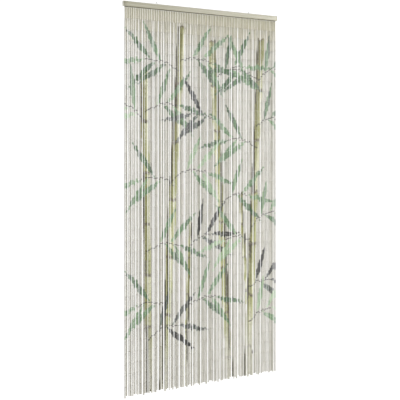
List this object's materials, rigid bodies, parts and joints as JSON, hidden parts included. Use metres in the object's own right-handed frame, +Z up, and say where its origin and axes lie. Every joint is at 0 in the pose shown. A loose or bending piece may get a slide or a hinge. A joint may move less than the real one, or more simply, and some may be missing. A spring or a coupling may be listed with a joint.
{
  "type": "bamboo strand door curtain with hanging rail",
  "caption": "Door curtain of jointed bamboo strands that hang side by side from a wooden rail, which hangs from a doorway by its screw eyes.",
  "frame": {"origin": "middle of the rail's top face, midway between the two screw eyes that the rail hangs from", "axes": "+Z up, +X along the rail to the viewer's right, -Y out of the curtain's printed front"},
  "size_m": [1, 0.014, 2.0108],
  "materials": {
    "rail_wood": "pale wood slat, thinly lacquered, satin",
    "bamboo": "thin bamboo branches, pale ground coat with a green and grey leaf print on the front, dull satin",
    "steel": "zinc-plated steel wire, slightly dull"
  },
  "bodies": {
    "root": {"rail": "rail_wood", "strand_curtain": "bamboo", "screw_eye_left": "steel", "screw_eye_right": "steel"}
  },
  "joints": []
}
